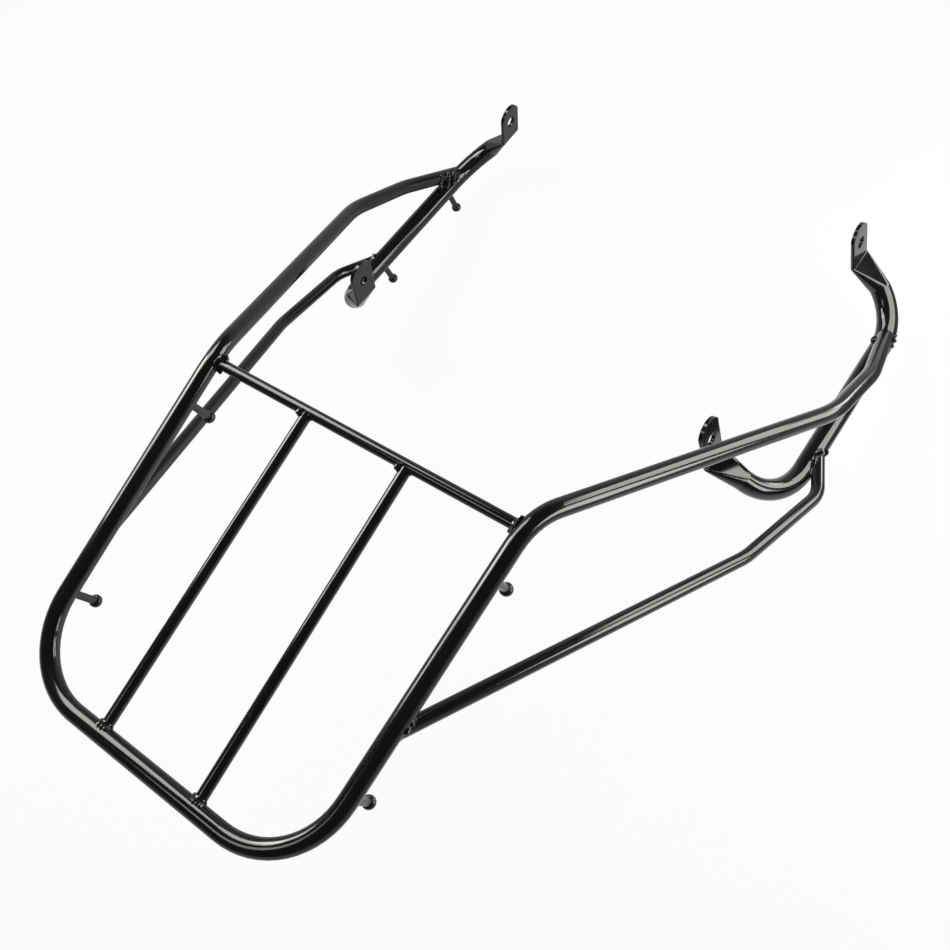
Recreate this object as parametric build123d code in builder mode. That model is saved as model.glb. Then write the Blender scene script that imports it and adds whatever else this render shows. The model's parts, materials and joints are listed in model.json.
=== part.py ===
import os
from math import cos, pi, radians, sin, tan

from build123d import *

os.makedirs("parts", exist_ok=True)

# Luggage rack of bent tube for a motorcycle's tail, in millimetres.
# The datum is midway between the two upper fixing holes: X to the right, Y forward, Z up.

# Tube and bar stock
loop_d = 12.7
loop_wall = 1.6
rod_d = 8.0
stay_d = 10.0
stay_wall = 1.5
grab_d = 16.6
grab_wall = 1.5
weld_gap = 0.2

# Deck hoop, measured to the tube axis
deck_up = 204.0
bar_back = 352.0
deck_length = 239.0
bar_half = 130.4
rear_half = 121.5
corner_bend = 58.0
slat_half = 42.0

# Side arms, measured ahead of the cross bar
elbow_ahead = 8.0
elbow_bend = 50.0
side_fall = 39.5
shoulder_ahead = 197.0
shoulder_half = 225.0
turn_in_ahead = 253.0
turn_in_half = 227.0
side_bend = 80.0
lap_back = 37.0
lap_lift = 5.5

# Grab tubes with crushed, folded and drilled ends
fix_half = 169.0
fix_pitch = 226.0
fix_inset = 6.3
fix_lift = 9.4
fix_hole_d = 10.0
run_fall = 14.0
leg_rise = 40.1
grab_pitch = 214.5
grab_bend = 45.0
leg_straight = 12.7
crush_length = 30.0
crush_flat = 0.5
crest_turn = 8.0
fold_bend = 2.4
tab_lean = 8.0
tab_reach_top = 19.0
tab_reach_low = 22.0
tab_tip_top = 16.5
tab_tip_low = 19.3

# Stays, measured from the cross bar and the deck
stay_root_back = 140.0
stay_elbow_ahead = 75.0
stay_elbow_half = 221.0
stay_elbow_drop = 154.5
stay_wrist_ahead = 150.0
stay_wrist_half = 236.0
stay_wrist_drop = 202.5
stay_land_ahead = 62.5
stay_elbow_bend = 60.0
stay_wrist_bend = 28.0

# Cord pegs
peg_d = 5.5
peg_head_d = 9.0
peg_head_height = 6.0
peg_head_round = 2.6
peg_reach = 25.5
deck_peg_front_back = 34.0
deck_peg_rear_ahead = 57.0
grab_peg_rear_ahead = 54.5
grab_peg_front_back = 55.0

# Directions of the right grab tube: along its run, square to it, and up its legs
run_dir = Vector(0, cos(radians(run_fall)), -sin(radians(run_fall)))
tab_dir = Vector(0, sin(radians(run_fall)), cos(radians(run_fall)))
leg_dir = Vector(-cos(radians(leg_rise)), 0, 0) + tab_dir * sin(radians(leg_rise))

# The folded tabs lean in towards each other: up their face, and square out of it
plate_dir = tab_dir * cos(radians(tab_lean)) - Vector(sin(radians(tab_lean)), 0, 0)
plate_normal = tab_dir * sin(radians(tab_lean)) + Vector(cos(radians(tab_lean)), 0, 0)

# A crushed tube keeps its girth, so it spreads to this width at twice the wall
flat_t = 2 * grab_wall
flat_w = pi * (grab_d - grab_wall) / 2 + grab_wall

# The two flat facets of the crush end in a narrow crest on the round tube
crest_span = grab_d * cos(radians(crest_turn / 2))

# The flat runs on from the crush to where the fold begins
fold_lead = fold_bend * tan(radians(90 - tab_lean - leg_rise) / 2)
flat_lead = crush_flat + fold_lead

leg_top = grab_bend + leg_straight
grab_half = fix_half + tab_reach_top * sin(radians(tab_lean)) + leg_top * cos(radians(leg_rise))
run_drop = tab_reach_top * cos(radians(tab_lean)) + leg_top * sin(radians(leg_rise))

# The thin rods lie flush with the underside of the loop tube
rod_up = deck_up - (loop_d - rod_d) / 2


def on_run(ahead, lift=0.0):
    """Point of the right grab run, ahead of the upper fixing hole and square above the run's axis."""
    return Vector(grab_half, 0, 0) + run_dir * ahead + tab_dir * (lift - run_drop)


def on_arm(back):
    """Point of the right deck arm's axis, behind the cross bar."""
    half = bar_half - (bar_half - rear_half) * back / deck_length
    return Vector(half, -bar_back - back, deck_up)


def on_side(ahead, half):
    """Point of the right side arm's plane, ahead of the cross bar."""
    fall = (ahead - elbow_ahead) * tan(radians(side_fall))
    return Vector(half, ahead - bar_back, deck_up - fall)


def mirrored(point):
    """The same point on the left side."""
    return Vector(-point.X, point.Y, point.Z)


def across(path):
    """Plane square to the start of a path."""
    return Plane(origin=path @ 0, z_dir=path % 0)


# Axis of the loop tube, from the right lap round the deck to the left lap
right_loop_points = [
    on_run(-lap_back, lap_lift),
    on_side(turn_in_ahead, turn_in_half),
    on_side(shoulder_ahead, shoulder_half),
    on_arm(-elbow_ahead),
    on_arm(deck_length),
]
loop_points = right_loop_points + [mirrored(point) for point in reversed(right_loop_points)]
right_loop_bends = [side_bend, side_bend, elbow_bend, corner_bend]

with BuildLine() as loop_axis:
    FilletPolyline(*loop_points, radius=right_loop_bends + right_loop_bends[::-1])

# Corners of the right grab tube's bends, the folds of its tabs, and its round run between the crushed ends
top_corner = on_run(0)
low_corner = on_run(-grab_pitch)
top_fold = top_corner + leg_dir * leg_top
low_fold = top_fold - Vector(fix_inset, 0, 0) - run_dir * fix_pitch + tab_dir * fix_lift
with BuildLine() as grab_axis:
    FilletPolyline(low_fold, low_corner, top_corner, top_fold, radius=grab_bend)
grab_length = grab_axis.wire().length
grab_run = grab_axis.wire().trim(crush_length / grab_length, 1 - crush_length / grab_length)

# Axis of the right stay, from the deck arm to the grab run
with BuildLine() as stay_axis:
    FilletPolyline(
        on_arm(stay_root_back),
        Vector(stay_elbow_half, stay_elbow_ahead - bar_back, deck_up - stay_elbow_drop),
        Vector(stay_wrist_half, stay_wrist_ahead - bar_back, deck_up - stay_wrist_drop),
        on_run(stay_land_ahead - grab_pitch),
        radius=[stay_elbow_bend, stay_wrist_bend],
    )

# Envelopes that the ends of welded tubes are coped to
with BuildPart() as loop_cope:
    with BuildSketch(across(loop_axis.line)):
        Circle(loop_d / 2 + weld_gap)
    sweep(path=loop_axis.line)

with BuildPart() as right_grab_cope:
    with BuildSketch(across(grab_run)):
        Circle(grab_d / 2 + weld_gap)
    sweep(path=grab_run)

with BuildPart() as left_grab_cope:
    mirror(right_grab_cope.part, about=Plane.YZ)

# Loop tube with its two ends coped to the grab tubes
with BuildPart() as loop_tube:
    with BuildSketch(across(loop_axis.line)):
        Circle(loop_d / 2)
        Circle(loop_d / 2 - loop_wall, mode=Mode.SUBTRACT)
    sweep(path=loop_axis.line)
    add(right_grab_cope.part, mode=Mode.SUBTRACT)
    add(left_grab_cope.part, mode=Mode.SUBTRACT)
loop_tube.part.label = "loop_tube"
export_step(loop_tube.part, "parts/loop_tube.step")

# Front cross bar between the deck arms
bar_plane = Plane(origin=(0, -bar_back, rod_up), z_dir=(1, 0, 0))
with BuildPart() as bar_cope:
    with BuildSketch(bar_plane):
        Circle(rod_d / 2 + weld_gap)
    extrude(amount=bar_half, both=True)

with BuildPart() as front_cross_bar:
    with BuildSketch(bar_plane):
        Circle(rod_d / 2)
    extrude(amount=bar_half, both=True)
    add(loop_cope.part, mode=Mode.SUBTRACT)
front_cross_bar.part.label = "front_cross_bar"
export_step(front_cross_bar.part, "parts/front_cross_bar.step")

# Slats from the rear run to the cross bar
for name, half in (("slat_right", slat_half), ("slat_left", -slat_half)):
    with BuildPart() as slat:
        with BuildSketch(Plane(origin=(half, -bar_back, rod_up), z_dir=(0, -1, 0))):
            Circle(rod_d / 2)
        extrude(amount=deck_length)
        add(loop_cope.part, mode=Mode.SUBTRACT)
        add(bar_cope.part, mode=Mode.SUBTRACT)
    slat.part.label = name
    export_step(slat.part, f"parts/{name}.step")

# Grab tubes: round run, crushed ends, folded tabs with round tips and bolt holes
ends = (
    (grab_run @ 0, -(grab_run % 0), low_fold, tab_reach_low, tab_tip_low),
    (grab_run @ 1, grab_run % 1, top_fold, tab_reach_top, tab_tip_top),
)
with BuildPart() as grab_tube_right:
    with BuildSketch(across(grab_run)):
        Circle(grab_d / 2)
    sweep(path=grab_run)
    for crush_start, crush_dir, fold, reach, tip in ends:
        flat_plane = Plane(origin=fold - leg_dir * flat_lead, x_dir=run_dir, z_dir=leg_dir)
        hole = fold + plate_dir * reach
        with BuildSketch(Plane(origin=crush_start, x_dir=run_dir, z_dir=crush_dir)):
            Circle(grab_d / 2)
            Rectangle(2 * grab_d, crest_span, mode=Mode.INTERSECT)
        with BuildSketch(flat_plane):
            SlotOverall(flat_w, flat_t)
        loft()
        with BuildLine() as tab_axis:
            FilletPolyline(flat_plane.origin, fold, hole + plate_dir * tip, radius=fold_bend)
        with BuildSketch(flat_plane):
            SlotOverall(flat_w, flat_t)
        sweep(path=tab_axis.line)
        with BuildSketch(Plane(origin=hole, x_dir=run_dir, z_dir=plate_normal)):
            with Locations((0, tip - flat_w / 2)):
                Rectangle(2 * flat_w, flat_w, align=(Align.CENTER, Align.MIN))
                Circle(flat_w / 2, mode=Mode.SUBTRACT)
            Circle(fix_hole_d / 2)
        extrude(amount=flat_t, both=True, mode=Mode.SUBTRACT)
grab_tube_right.part.label = "grab_tube_right"
export_step(grab_tube_right.part, "parts/grab_tube_right.step")

with BuildPart() as grab_tube_left:
    mirror(grab_tube_right.part, about=Plane.YZ)
grab_tube_left.part.label = "grab_tube_left"
export_step(grab_tube_left.part, "parts/grab_tube_left.step")

# Stays coped to the deck arms and to the grab runs
with BuildPart() as stay_right:
    with BuildSketch(across(stay_axis.line)):
        Circle(stay_d / 2)
        Circle(stay_d / 2 - stay_wall, mode=Mode.SUBTRACT)
    sweep(path=stay_axis.line)
    add(loop_cope.part, mode=Mode.SUBTRACT)
    add(right_grab_cope.part, mode=Mode.SUBTRACT)
stay_right.part.label = "stay_right"
export_step(stay_right.part, "parts/stay_right.step")

with BuildPart() as stay_left:
    mirror(stay_right.part, about=Plane.YZ)
stay_left.part.label = "stay_left"
export_step(stay_left.part, "parts/stay_left.step")

# Cord pegs hang straight down from the deck arms and the grab runs
pegs = []
for place, seat, stock_d, cope in (
    ("deck_peg_front", on_arm(deck_peg_front_back), loop_d, loop_cope),
    ("deck_peg_rear", on_arm(deck_length - deck_peg_rear_ahead), loop_d, loop_cope),
    ("grab_peg_rear", on_run(grab_peg_rear_ahead - grab_pitch), grab_d, right_grab_cope),
    ("grab_peg_front", on_run(-grab_peg_front_back), grab_d, right_grab_cope),
):
    head_centre = stock_d / 2 + peg_reach - peg_head_height / 2
    with BuildPart() as peg:
        with BuildSketch(Plane(origin=seat, x_dir=(1, 0, 0), z_dir=(0, 1, 0))):
            Rectangle(peg_d, head_centre, align=(Align.CENTER, Align.MIN))
            with Locations((0, head_centre)):
                RectangleRounded(peg_head_d, peg_head_height, peg_head_round)
            Rectangle(peg_head_d, 3 * head_centre, align=(Align.MAX, Align.CENTER), mode=Mode.SUBTRACT)
        revolve(axis=Axis(seat, (0, 0, -1)))
        add(cope.part, mode=Mode.SUBTRACT)
    pegs.append((place, peg.part))

for place, right_peg in pegs:
    for side, part in (("right", right_peg), ("left", right_peg.mirror(Plane.YZ))):
        part.label = f"{place}_{side}"
        export_step(part, f"parts/{place}_{side}.step")
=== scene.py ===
import json
from math import cos, exp, pi, radians, sin, sqrt

import bpy
from mathutils import Matrix, Vector, noise


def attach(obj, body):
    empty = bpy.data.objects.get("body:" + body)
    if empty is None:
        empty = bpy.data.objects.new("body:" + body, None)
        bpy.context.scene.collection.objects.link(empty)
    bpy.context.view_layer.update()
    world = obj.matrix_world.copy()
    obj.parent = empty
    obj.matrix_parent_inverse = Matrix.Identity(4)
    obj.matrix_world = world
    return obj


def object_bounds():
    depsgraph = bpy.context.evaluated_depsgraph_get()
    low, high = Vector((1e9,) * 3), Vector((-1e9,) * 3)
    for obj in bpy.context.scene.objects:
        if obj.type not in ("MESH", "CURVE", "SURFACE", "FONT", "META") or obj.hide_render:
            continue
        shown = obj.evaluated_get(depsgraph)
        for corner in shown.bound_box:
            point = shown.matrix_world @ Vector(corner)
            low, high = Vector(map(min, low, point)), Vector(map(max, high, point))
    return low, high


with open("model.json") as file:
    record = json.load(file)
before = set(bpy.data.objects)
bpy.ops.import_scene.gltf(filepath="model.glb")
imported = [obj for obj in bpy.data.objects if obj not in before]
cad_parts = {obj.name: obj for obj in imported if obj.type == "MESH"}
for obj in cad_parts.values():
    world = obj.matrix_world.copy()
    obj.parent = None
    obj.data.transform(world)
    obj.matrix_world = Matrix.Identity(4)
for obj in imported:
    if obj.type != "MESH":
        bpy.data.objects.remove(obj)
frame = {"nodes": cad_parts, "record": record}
cad_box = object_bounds()

# Motorcycle luggage rack: welded tube under gloss black enamel, in metres.
# The datum is midway between the two upper fixing holes: X to the right, Y forward, Z up.

ACROSS = Vector((1, 0, 0))
BACK = Vector((0, -1, 0))
DOWN = Vector((0, 0, -1))

# Radii of the tube and rod stock
LOOP_R = 0.00635
ROD_R = 0.004
STAY_R = 0.005
GRAB_R = 0.0083
PEG_R = 0.00275

# Axes of the right half, to which the weld beads are laid
DECK_UP = 0.204
ROD_UP = 0.20165
BAR_Y = -0.352
REAR_Y = -0.591
SLAT_HALF = 0.042
ARM_FRONT = Vector((0.1304, BAR_Y, DECK_UP))
ARM_REAR = Vector((0.1215, REAR_Y, DECK_UP))
ARM_DIR = (ARM_REAR - ARM_FRONT).normalized()
RUN_FALL = radians(14)
RUN_HALF = 0.21578
RUN_DROP = 0.05598
RUN_DIR = Vector((0, cos(RUN_FALL), -sin(RUN_FALL)))
RUN_UP = Vector((0, sin(RUN_FALL), cos(RUN_FALL)))
RUN_ZERO = Vector((RUN_HALF, 0, 0)) - RUN_DROP * RUN_UP
STAY_ELBOW = Vector((0.221, -0.277, 0.0495))
STAY_WRIST = Vector((0.236, -0.202, 0.0015))
TURN_IN = Vector((0.227, -0.099, 0.002))


def on_arm(back):
    """Point of the right deck arm's axis, behind the cross bar."""
    return ARM_FRONT.lerp(ARM_REAR, back / (BAR_Y - REAR_Y))


def on_run(ahead, lift=0.0):
    """Point of the right grab run, ahead of the upper fixing hole and square above the run's axis."""
    return RUN_ZERO + ahead * RUN_DIR + lift * RUN_UP


def to_linear(hex_colour):
    """Linear colour of an sRGB hex value."""
    channels = [int(hex_colour[i : i + 2], 16) / 255 for i in (1, 3, 5)]
    return [c / 12.92 if c <= 0.04045 else ((c + 0.055) / 1.055) ** 2.4 for c in channels] + [1.0]


def add_node(tree, kind, settings=None, links=None):
    """A node with its settings and links. Settings with a capital or a number go to its sockets."""
    made = tree.nodes.new(kind)
    for name, value in (settings or {}).items():
        if isinstance(name, int) or name[0].isupper():
            made.inputs[name].default_value = value
        else:
            setattr(made, name, value)
    for name, source in (links or {}).items():
        tree.links.new(source, made.inputs[name])
    return made


def new_material(name):
    """An empty node material and its tree."""
    material = bpy.data.materials.new(name)
    material.use_nodes = True
    material.node_tree.nodes.clear()
    return material, material.node_tree


def per_metre(millimetres):
    """Noise scale that gives blotches of about this size."""
    return 1000 / millimetres


def rescaled(tree, value, span, result):
    """A value taken from one span to another, and held at its ends."""
    made = add_node(
        tree,
        "ShaderNodeMapRange",
        {"From Min": span[0], "From Max": span[1], "To Min": result[0], "To Max": result[1]},
        {"Value": value},
    )
    return made.outputs["Result"]


def tones(tree, value, stops):
    """Colours that follow a value. The stops rise, each with its colour."""
    made = add_node(tree, "ShaderNodeValToRGB", links={"Fac": value})
    elements = made.color_ramp.elements
    for element, (position, colour) in zip(elements, stops[:2]):
        element.position = position
        element.color = to_linear(colour)
    for position, colour in stops[2:]:
        elements.new(position).color = to_linear(colour)
    return made.outputs["Color"]


# Enamel: sizes in millimetres as they show, and the spans of noise that make the patches and nibs
ENAMEL_IOR = 1.55
PATCH_MM = 28
PATCH_SPAN = (0.3, 0.75)
TONE_STOPS = (0.35, 0.7)
NIB_MM = 1.1
NIB_SPAN = (0.66, 0.78)
NIB_DULL = 0.02
EDGE_ROUND = 0.0006


def black_enamel(name, deep, worn, gloss, peel_mm, peel_depth_mm):
    """Gloss black enamel, sprayed and stoved.

    It flows out before it hardens, so it mirrors the lamps in long clean streaks. What is left of the
    spray is a shallow orange peel, patches where the gloss is a little duller, and dust that settled in it.
    """
    material, tree = new_material(name)
    place = add_node(tree, "ShaderNodeTexCoord").outputs["Object"]
    # Handling and overspray dull the gloss in patches of a few centimetres
    patches = add_node(
        tree,
        "ShaderNodeTexNoise",
        {"Scale": per_metre(PATCH_MM), "Detail": 3.0, "Roughness": 0.55},
        {"Vector": place},
    ).outputs["Fac"]
    tone = tones(tree, patches, list(zip(TONE_STOPS, (deep, worn))))
    dull = rescaled(tree, patches, PATCH_SPAN, gloss)
    # Dust nibs are finer than a pixel, so they are drawn a millimetre apart to show
    nibs = add_node(tree, "ShaderNodeTexNoise", {"Scale": per_metre(NIB_MM), "Detail": 1.0}, {"Vector": place})
    speck = rescaled(tree, nibs.outputs["Fac"], NIB_SPAN, (0.0, NIB_DULL))
    rough = add_node(tree, "ShaderNodeMath", {"operation": "ADD"}, {0: dull, 1: speck})
    peel = add_node(tree, "ShaderNodeTexNoise", {"Scale": per_metre(peel_mm), "Detail": 1.5}, {"Vector": place})
    # The coat is thick enough to round off cut and folded edges
    rounded = add_node(tree, "ShaderNodeBevel", {"samples": 12, "Radius": EDGE_ROUND})
    bump = add_node(
        tree,
        "ShaderNodeBump",
        {"Strength": 1.0, "Distance": peel_depth_mm / 1000},
        {"Height": peel.outputs["Fac"], "Normal": rounded.outputs["Normal"]},
    )
    skin = add_node(
        tree,
        "ShaderNodeBsdfPrincipled",
        {"IOR": ENAMEL_IOR},
        {"Base Color": tone, "Roughness": rough.outputs["Value"], "Normal": bump.outputs["Normal"]},
    )
    add_node(tree, "ShaderNodeOutputMaterial", links={"Surface": skin.outputs["BSDF"]})
    return material


finishes = {
    "loop_paint": black_enamel("stoved_enamel_on_bent_tube", "#060607", "#0d0d0e", (0.09, 0.16), 4.0, 0.003),
    "rod_paint": black_enamel("stoved_enamel_on_drawn_rod", "#060606", "#0d0d0d", (0.09, 0.16), 3.2, 0.003),
    "stay_paint": black_enamel("stoved_enamel_on_thin_tube", "#060607", "#0d0d0e", (0.09, 0.16), 3.4, 0.003),
    "peg_paint": black_enamel("stoved_enamel_on_turned_pin", "#08090a", "#121314", (0.20, 0.34), 1.6, 0.008),
    "grab_paint": black_enamel("stoved_enamel_on_crushed_tube", "#070708", "#0f0f10", (0.07, 0.13), 3.6, 0.0025),
}
weld_enamel = black_enamel("stoved_enamel_on_weld_bead", "#060606", "#0e0e0e", (0.07, 0.13), 1.8, 0.004)

for sub in frame["record"]["subparts"]:
    piece = frame["nodes"][sub["node"]]
    piece.data.materials.clear()
    piece.data.materials.append(finishes[sub["material_slot"]])

# Weld metal: how deep its edge is sunk in the tube, points round and along it, length of its ripples, how far each
# ripple bows back (in radii), and how much ripples and lumps add to its radius
SINK = 0.00012
WELD_ROUNDS = 20
BEAD_STEPS = 150
BEAD_LEG = 2.2
BEAD_RIPPLE = 0.0026
BEAD_BOW = 1.1
BEAD_RIPPLES, BEAD_LUMPS = 0.12, 0.15
BEAD_RISE, PUDDLE_RISE = 0.1, 0.25
PASS_STEPS = 70
PASS_RIPPLE = 0.0024
PASS_BOW = 1.2
PASS_RIPPLES, PASS_LUMPS = 0.13, 0.25
LUMPS_PER_METRE = 300

# Each weld has its own lumps
BEAD_SEED = 3.7
LEFT_SEED = 40.3
PASS_SEED = 7.3


def lump_at(point, seed):
    """How far the weld metal is swollen or shrunk at a point, from -1 to 1."""
    return noise.noise(point * LUMPS_PER_METRE + Vector((seed, seed, 0)))


def lay_metal(name, points, faces):
    """A closed piece of weld metal."""
    mesh = bpy.data.meshes.new(name)
    mesh.from_pydata(points, [], faces)
    mesh.validate()
    mesh.polygons.foreach_set("use_smooth", [True] * len(mesh.polygons))
    mesh.materials.append(weld_enamel)
    bead = bpy.data.objects.new(name, mesh)
    bpy.context.collection.objects.link(bead)
    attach(bead, "root")


def weld_line(root, away, rod_r, seat, seat_dir, seat_r, leg):
    """Closed line where a rod's skin meets the tube it is welded to.

    Each step holds its turn, its place, the outward directions of both skins, and where a fillet of this leg
    ends on the tube and on the rod.
    """
    away = away.normalized()
    side = away.cross(seat_dir).normalized()
    across = side.cross(away)
    line = []
    for i in range(BEAD_STEPS):
        turn = 2 * pi * i / BEAD_STEPS
        out = cos(turn) * side + sin(turn) * across
        start = root + rod_r * out
        gap = (start - seat) - (start - seat).dot(seat_dir) * seat_dir
        slope = away - away.dot(seat_dir) * seat_dir
        square = slope.dot(slope)
        half = gap.dot(slope)
        under = half * half - square * (gap.dot(gap) - seat_r * seat_r)
        reach = max((sqrt(max(under, 0.0)) - half) / square, 0.0)
        point = start + reach * away
        up = ((point - seat) - (point - seat).dot(seat_dir) * seat_dir).normalized()
        foot = point + leg * (out - out.dot(up) * up).normalized()
        foot_along = seat + (foot - seat).dot(seat_dir) * seat_dir
        on_seat = foot_along + (seat_r - SINK) * (foot - foot_along).normalized()
        on_rod = point + leg * away - SINK * out
        line.append((360 * i / BEAD_STEPS, point, out, up, on_seat, on_rod))
    return line


def weld_bead(name, line, thin, puddles, drift, seed):
    """Weld metal round a joint: a hollow fillet that swells into round puddles, each frozen in a few ripples."""
    points, faces = [], []
    count = len(line)
    laid = 0.0
    for i, (turn, point, out, up, on_seat, on_rod) in enumerate(line):
        before, after = line[i - 1][1], line[(i + 1) % count][1]
        laid += (point - before).length
        along = (after - before).normalized()
        lean = (out + up).normalized()
        flank = along.cross(lean).normalized()
        swell = 0.0
        size = thin
        for middle, spread, crown in puddles:
            off = ((turn - middle + 180) % 360 - 180) / spread
            size += (crown - thin) * exp(-off * off)
            swell = max(swell, exp(-off * off))
        heart = point + lean * size * (BEAD_RISE + PUDDLE_RISE * swell) + drift * swell
        for k in range(WELD_ROUNDS):
            around = 2 * pi * k / WELD_ROUNDS - pi
            skin = heart + size * (cos(around) * lean + sin(around) * flank)
            crescent = cos(2 * pi * (laid + BEAD_BOW * size * cos(around)) / BEAD_RIPPLE)
            grown = size * (1 + BEAD_RIPPLES * swell * crescent + BEAD_LUMPS * lump_at(skin, seed))
            dome = heart + grown * (cos(around) * lean + sin(around) * flank)
            if abs(around) <= pi / 2:
                bend = (around + pi / 2) / 2
                web = point + (1 - sin(bend)) * (on_seat - point) + (1 - cos(bend)) * (on_rod - point)
            else:
                web = (on_rod if around > 0 else on_seat).lerp(point - thin * lean, 2 * abs(around) / pi - 1)
            points.append(web.lerp(dome, swell * swell * (3 - 2 * swell)))
    for i in range(count):
        for k in range(WELD_ROUNDS):
            a, b = i * WELD_ROUNDS, (i + 1) % count * WELD_ROUNDS
            faces.append((a + k, a + (k + 1) % WELD_ROUNDS, b + (k + 1) % WELD_ROUNDS, b + k))
    lay_metal(name, points, faces)


def weld_pass(name, start, middle, end, outward, size, seed):
    """A short pass of weld metal laid across a joint: a round bead with its ripples, shut at both ends."""
    knee = 2 * middle - (start + end) / 2
    points, faces = [start], []
    laid, before = 0.0, start
    for i in range(1, PASS_STEPS):
        t = i / PASS_STEPS
        heart = start.lerp(knee, t).lerp(knee.lerp(end, t), t)
        along = (knee - start).lerp(end - knee, t).normalized()
        lean = (outward - outward.dot(along) * along).normalized()
        flank = along.cross(lean)
        laid += (heart - before).length
        before = heart
        width = size * sqrt(1 - (2 * t - 1) ** 4)
        for k in range(WELD_ROUNDS):
            around = 2 * pi * k / WELD_ROUNDS
            way = cos(around) * lean + sin(around) * flank
            crescent = cos(2 * pi * (laid + PASS_BOW * size * cos(around)) / PASS_RIPPLE)
            lump = lump_at(heart + size * way, seed)
            points.append(heart + width * (1 + PASS_RIPPLES * crescent + PASS_LUMPS * lump) * way)
    points.append(end)
    last = len(points) - 1
    for k in range(WELD_ROUNDS):
        a, b = 1 + k, 1 + (k + 1) % WELD_ROUNDS
        faces.append((0, b, a))
        for i in range(PASS_STEPS - 2):
            low, high = i * WELD_ROUNDS, (i + 1) * WELD_ROUNDS
            faces.append((low + a, low + b, high + b, high + a))
        faces.append((last, last - WELD_ROUNDS + k, last - WELD_ROUNDS + (k + 1) % WELD_ROUNDS))
    lay_metal(name, points, faces)


def mirrored(point):
    """The same point or direction on the left side."""
    return Vector((-point.x, point.y, point.z))


# Each joint: its name, where the rod's axis is rooted and which way it leaves, the rod's radius, a point and the
# direction of the tube's axis, the tube's radius, the bead's thickness, and the name of a paint
slat_front = Vector((SLAT_HALF, BAR_Y, ROD_UP))
slat_rear = Vector((SLAT_HALF, REAR_Y, ROD_UP))
rear_run = Vector((0, REAR_Y, DECK_UP))
bar_end = Vector((ARM_FRONT.x, BAR_Y, ROD_UP))
stay_root = on_arm(0.14)
stay_land = on_run(-0.152)
lap = on_run(-0.037, 0.0055)
deck_peg_front = on_arm(0.034)
deck_peg_rear = on_arm(0.182)
grab_peg_rear = on_run(-0.16)
grab_peg_front = on_run(-0.055)
joints = [
    ("slat_front", slat_front, BACK, ROD_R, slat_front, ACROSS, ROD_R, 0.0011, "rod_paint"),
    ("slat_rear", slat_rear, -BACK, ROD_R, rear_run, ACROSS, LOOP_R, 0.0012, "rod_paint"),
    ("cross_bar", bar_end, -ACROSS, ROD_R, ARM_FRONT, ARM_DIR, LOOP_R, 0.0013, "rod_paint"),
    ("stay_root", stay_root, STAY_ELBOW - stay_root, STAY_R, stay_root, ARM_DIR, LOOP_R, 0.0013, "stay_paint"),
    ("stay_land", stay_land, STAY_WRIST - stay_land, STAY_R, stay_land, RUN_DIR, GRAB_R, 0.0016, "stay_paint"),
    ("loop_lap", lap, TURN_IN - lap, LOOP_R, RUN_ZERO, RUN_DIR, GRAB_R, 0.0006, "loop_paint"),
    ("deck_peg_front", deck_peg_front, DOWN, PEG_R, deck_peg_front, ARM_DIR, LOOP_R, 0.0011, "peg_paint"),
    ("deck_peg_rear", deck_peg_rear, DOWN, PEG_R, deck_peg_rear, ARM_DIR, LOOP_R, 0.0011, "peg_paint"),
    ("grab_peg_rear", grab_peg_rear, DOWN, PEG_R, grab_peg_rear, RUN_DIR, GRAB_R, 0.0011, "peg_paint"),
    ("grab_peg_front", grab_peg_front, DOWN, PEG_R, grab_peg_front, RUN_DIR, GRAB_R, 0.0011, "peg_paint"),
]

# Where the welder dwelt on each joint: degrees round it, spread in degrees, and radius of the puddle
puddles = {
    "slat_front_right": [(300, 34, 0.0028)],
    "slat_front_left": [(50, 34, 0.0026)],
    "slat_rear_right": [(262, 24, 0.0016), (112, 22, 0.0019)],
    "slat_rear_left": [(98, 24, 0.0016), (248, 22, 0.0019)],
    "cross_bar_right": [(80, 24, 0.0019)],
    "cross_bar_left": [(320, 45, 0.0041), (90, 25, 0.0019)],
    "stay_root_right": [(195, 16, 0.0016), (222, 12, 0.0017), (243, 10, 0.0017)],
    "stay_root_left": [(150, 16, 0.0016), (195, 18, 0.0016), (280, 14, 0.0015)],
    "stay_land_right": [(345, 18, 0.0026), (30, 18, 0.0027), (85, 20, 0.0025)],
    "stay_land_left": [(25, 16, 0.0018)],
    "loop_lap_right": [
        (320, 14, 0.0026),
        (295, 11, 0.0024),
        (142, 11, 0.0022),
        (166, 10, 0.0026),
        (188, 9, 0.0028),
        (208, 9, 0.0026),
        (230, 11, 0.0026),
    ],
    "loop_lap_left": [(195, 18, 0.0026)],
}

# Where the molten metal ran to from there
drifts = {
    "cross_bar": Vector((-0.0014, 0.0, -0.0009)),
    "loop_lap": Vector((0.0, -0.0008, 0.0022)),
}

for number, (name, root, away, rod_r, seat, seat_dir, seat_r, thin, slot) in enumerate(joints):
    right = weld_line(root, away, rod_r, seat, seat_dir, seat_r, BEAD_LEG * thin)
    left = [(step[0], *(mirrored(vector) for vector in step[1:])) for step in reversed(right)]
    drift = drifts.get(name, Vector())
    for side, line, run, seed in (
        ("right", right, drift, BEAD_SEED * number),
        ("left", left, mirrored(drift), BEAD_SEED * number + LEFT_SEED),
    ):
        weld_bead(f"weld_{name}_{side}", line, thin, puddles.get(f"{name}_{side}", []), run, seed)

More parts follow.
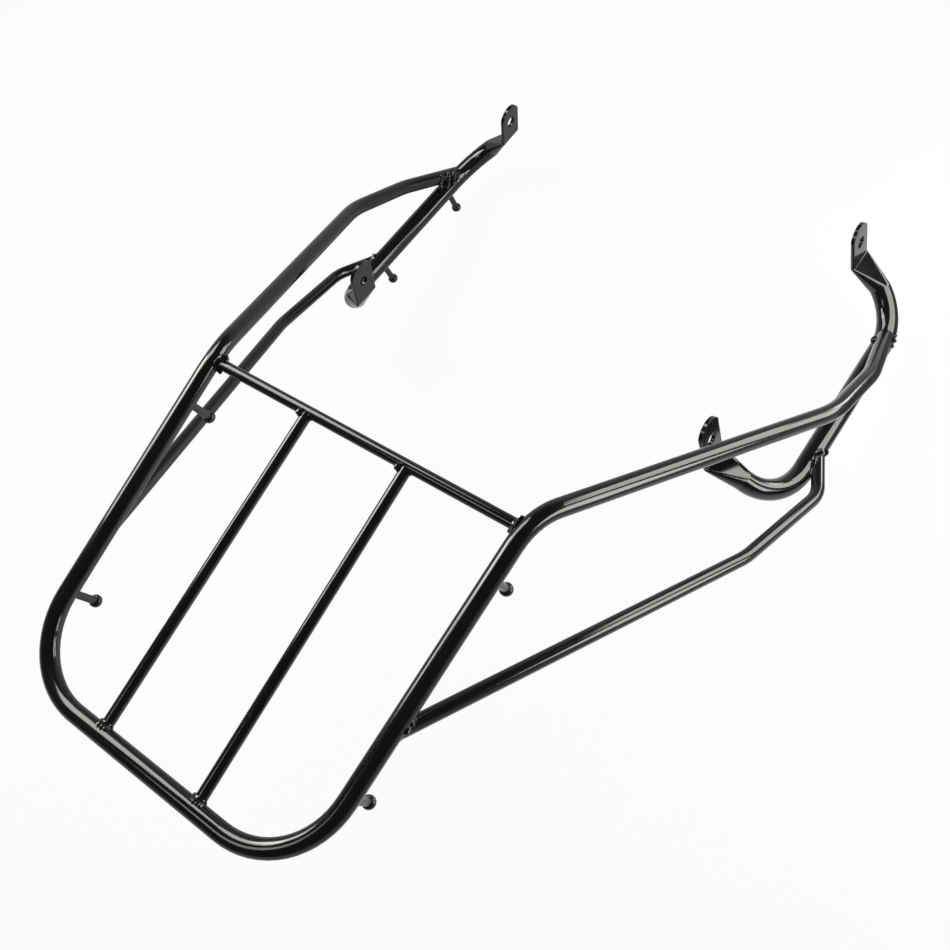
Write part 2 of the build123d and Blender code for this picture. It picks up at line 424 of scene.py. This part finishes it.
# Passes laid across a joint, each with its start, middle and end and its radius. The left lap has three, from the
# grab tube over the loop's flank, and each slat has one over its rear end, kept below the top of the loop.
LAP_OUT = Vector((0.85, 0.1, 0.5))
LOOP_OUT = Vector((0.0, 0.4, 0.92))
passes = [
    (
        "lap_low_left",
        ((-0.2140, -0.0740, -0.0315), (-0.2140, -0.0690, -0.0245), (-0.2165, -0.0625, -0.0215)),
        (LAP_OUT, 0.0022, "loop_paint"),
    ),
    (
        "lap_middle_left",
        ((-0.2105, -0.0700, -0.0350), (-0.2125, -0.0625, -0.0305), (-0.2155, -0.0540, -0.0275)),
        (LAP_OUT, 0.0027, "loop_paint"),
    ),
    (
        "lap_high_left",
        ((-0.2090, -0.0625, -0.0370), (-0.2110, -0.0560, -0.0340), (-0.2140, -0.0485, -0.0325)),
        (LAP_OUT, 0.0025, "loop_paint"),
    ),
    (
        "slat_end_left",
        ((-0.0456, -0.5862, 0.2054), (-0.0400, -0.5870, 0.2061), (-0.0350, -0.5860, 0.2054)),
        (LOOP_OUT, 0.0033, "rod_paint"),
    ),
    (
        "slat_end_right",
        ((0.0390, -0.5862, 0.2054), (0.0440, -0.5870, 0.2061), (0.0490, -0.5860, 0.2054)),
        (LOOP_OUT, 0.0032, "rod_paint"),
    ),
]
for number, (name, route, (outward, size, slot)) in enumerate(passes, 1):
    start, middle, end = (Vector(point) for point in route)
    weld_pass(f"weld_{name}", start, middle, end, outward, size, PASS_SEED * number)


def ray_kinds(tree):
    """Whether a ray comes straight from the camera, and whether it was mirrored or let through."""
    path = add_node(tree, "ShaderNodeLightPath")
    either = add_node(
        tree,
        "ShaderNodeMath",
        {"operation": "MAXIMUM"},
        {0: path.outputs["Is Glossy Ray"], 1: path.outputs["Is Transmission Ray"]},
    )
    return path.outputs["Is Camera Ray"], either.outputs[0]


# Floor of pale paper that runs out to the horizon, just under the rack. In the gloss it glows with a painted pool of
# light, white near the rack and greyer further out, and a painted shade under the front lamps. Each of these patches
# has its middle, its stretch along X and Y, and where its edge begins and ends.
FLOOR_HALF = 15
FLOOR_GAP = 0.0005
FLOOR_GLOW = 0.94
# Painted pool of light on the floor, seen only in the gloss
PAINTED_POOL = Vector((0.22, -0.22, 0.0))
PAINTED_POOL_SHAPE = (2.0, 1.0, 0.0)
PAINTED_POOL_EDGE = (0.36, 0.62)
# Painted shade on the floor under the front lamps, seen only in the gloss
PAINTED_SHADE = Vector((0.33, 0.03, 0.0))
PAINTED_SHADE_SHAPE = (1.0, 0.7, 0.0)
PAINTED_SHADE_EDGE = (0.10, 0.12)
floor_up = cad_box[0][2] - FLOOR_GAP
floor_mesh = bpy.data.meshes.new("floor")
floor_mesh.from_pydata(
    [(x * FLOOR_HALF, y * FLOOR_HALF, floor_up) for x, y in ((-1, -1), (1, -1), (1, 1), (-1, 1))],
    [],
    [(0, 1, 2, 3)],
)
floor = bpy.data.objects.new("floor", floor_mesh)
bpy.context.collection.objects.link(floor)
paper, tree = new_material("pale_paper_with_painted_light")
seen, in_gloss = ray_kinds(tree)
place = add_node(tree, "ShaderNodeTexCoord").outputs["Object"]
painted_depths = []
# How deep the painted shade is at each place: greyer away from the painted pool of light, and darkest in the painted
# shade patch
for middle, shape, edge, painted_depth_span in (
    (PAINTED_POOL, PAINTED_POOL_SHAPE, PAINTED_POOL_EDGE, (0.0, 0.5)),
    (PAINTED_SHADE, PAINTED_SHADE_SHAPE, PAINTED_SHADE_EDGE, (1.0, 0.0)),
):
    across = add_node(tree, "ShaderNodeVectorMath", {"operation": "SUBTRACT", 1: middle}, {0: place})
    shaped = add_node(tree, "ShaderNodeVectorMath", {"operation": "MULTIPLY", 1: shape}, {0: across.outputs["Vector"]})
    off = add_node(tree, "ShaderNodeVectorMath", {"operation": "LENGTH"}, {0: shaped.outputs["Vector"]})
    painted_depths.append(rescaled(tree, off.outputs["Value"], edge, painted_depth_span))
deepest_painted = add_node(tree, "ShaderNodeMath", {"operation": "MAXIMUM"}, {0: painted_depths[0], 1: painted_depths[1]})
# Painted pool of light and painted shade: this tone glows from the floor only in mirrored and let-through rays
painted_light_tone = tones(tree, deepest_painted.outputs[0], [(0.0, "#ffffff"), (0.5, "#bcbcbc"), (1.0, "#808080")])
matt = add_node(tree, "ShaderNodeBsdfDiffuse", {"Color": to_linear("#c4c4c4")})
painted_pool_glow = add_node(tree, "ShaderNodeEmission", {"Strength": 1.0}, {"Color": painted_light_tone})
glow = add_node(tree, "ShaderNodeEmission", {"Color": to_linear("#ffffff"), "Strength": 1.0})
lit = add_node(tree, "ShaderNodeMixShader", links={0: in_gloss, 1: matt.outputs[0], 2: painted_pool_glow.outputs[0]})
share = add_node(tree, "ShaderNodeMath", {"operation": "MULTIPLY", 1: FLOOR_GLOW}, {0: seen})
mix = add_node(tree, "ShaderNodeMixShader", links={0: share.outputs[0], 1: lit.outputs[0], 2: glow.outputs[0]})
add_node(tree, "ShaderNodeOutputMaterial", links={"Surface": mix.outputs[0]})
floor_mesh.materials.append(paper)

# Studio: white backdrop, a dim ceiling over a pale horizon in the gloss, and a faint tent light on everything matt.
# The ceiling comes down lower on the right and at the back.
CEILING_UP = (0.18, -0.16, 1.0)
TENT = 0.1
world = bpy.data.worlds.new("studio")
bpy.context.scene.world = world
world.use_nodes = True
tree = world.node_tree
tree.nodes.clear()
seen, in_gloss = ray_kinds(tree)
heading = add_node(tree, "ShaderNodeTexCoord").outputs["Generated"]
height = add_node(tree, "ShaderNodeVectorMath", {"operation": "DOT_PRODUCT", 1: CEILING_UP}, {0: heading})
ceiling = tones(tree, height.outputs["Value"], [(0.0, "#b2b2b2"), (0.16, "#6a6a6a"), (0.5, "#555555")])
tent = add_node(tree, "ShaderNodeBackground", {"Color": to_linear("#ffffff"), "Strength": TENT})
room = add_node(tree, "ShaderNodeBackground", {"Strength": 1.0}, {"Color": ceiling})
white = add_node(tree, "ShaderNodeBackground", {"Color": to_linear("#ffffff"), "Strength": 1.0})
lit = add_node(tree, "ShaderNodeMixShader", links={0: in_gloss, 1: tent.outputs[0], 2: room.outputs[0]})
mix = add_node(tree, "ShaderNodeMixShader", links={0: seen, 1: lit.outputs[0], 2: white.outputs[0]})
add_node(tree, "ShaderNodeOutputWorld", links={"Surface": mix.outputs[0]})

# Softboxes, each with its place, its width and height and its brightness. Those in front and on the right stand close
# to the rack, and the small card in front draws the fold line of the upper right tab.
AIM = Vector((0.0, -0.33, 0.08))
LAMP_WHITE = to_linear("#fffdf7")[:3]
softboxes = [
    ("left_softbox", Vector((-0.81, 0.06, 1.04)), (0.92, 0.60), 7.8),
    ("front_softbox", Vector((0.374, 0.107, 0.25)), (0.30, 0.24), 7.0),
    ("front_low", Vector((0.445, 0.095, 0.071)), (0.205, 0.125), 7.3),
    ("fold_card", Vector((0.345, 0.245, 0.008)), (0.10, 0.12), 9.0),
    ("right_softbox", Vector((0.67, -0.14, 0.17)), (0.25, 0.28), 8.7),
    ("left_strip", Vector((-0.665, -0.34, 0.605)), (0.40, 0.30), 9.3),
    ("rear_strip", Vector((-0.55, -1.05, 1.55)), (0.49, 0.33), 3.8),
]
for name, place, (width, height), brightness in softboxes:
    lamp = bpy.data.lights.new(name, "AREA")
    lamp.shape = "RECTANGLE"
    lamp.size = width
    lamp.size_y = height
    lamp.color = LAMP_WHITE
    lamp.energy = brightness * pi * width * height
    stand = bpy.data.objects.new(name, lamp)
    stand.location = place
    stand.rotation_euler = (place - AIM).to_track_quat("Z", "Y").to_euler()
    stand.visible_camera = False
    bpy.context.collection.objects.link(stand)

# Camera of the photograph, from above behind the right arm: its place, the directions of the picture's right, down
# and depth, and its focal length in pixels of the picture's width
EYE = Vector((0.3449, -0.4195, 0.7597))
PICTURE_RIGHT = Vector((0.80176, 0.517731, -0.298555))
PICTURE_DOWN = Vector((0.425431, -0.845267, -0.323315))
PICTURE_DEPTH = Vector((-0.419749, 0.132207, -0.89796))
FOCAL_PIXELS = 1028.8
PICTURE_PIXELS = 950
SENSOR_MM = 36
eye = bpy.data.cameras.new("camera")
eye.sensor_width = SENSOR_MM
eye.lens = SENSOR_MM * FOCAL_PIXELS / PICTURE_PIXELS
camera = bpy.data.objects.new("camera", eye)
turned = Matrix((PICTURE_RIGHT, -PICTURE_DOWN, -PICTURE_DEPTH)).transposed()
camera.matrix_world = Matrix.Translation(EYE) @ turned.to_4x4()
bpy.context.collection.objects.link(camera)
bpy.context.scene.camera = camera
bpy.context.scene.view_settings.view_transform = "Standard"
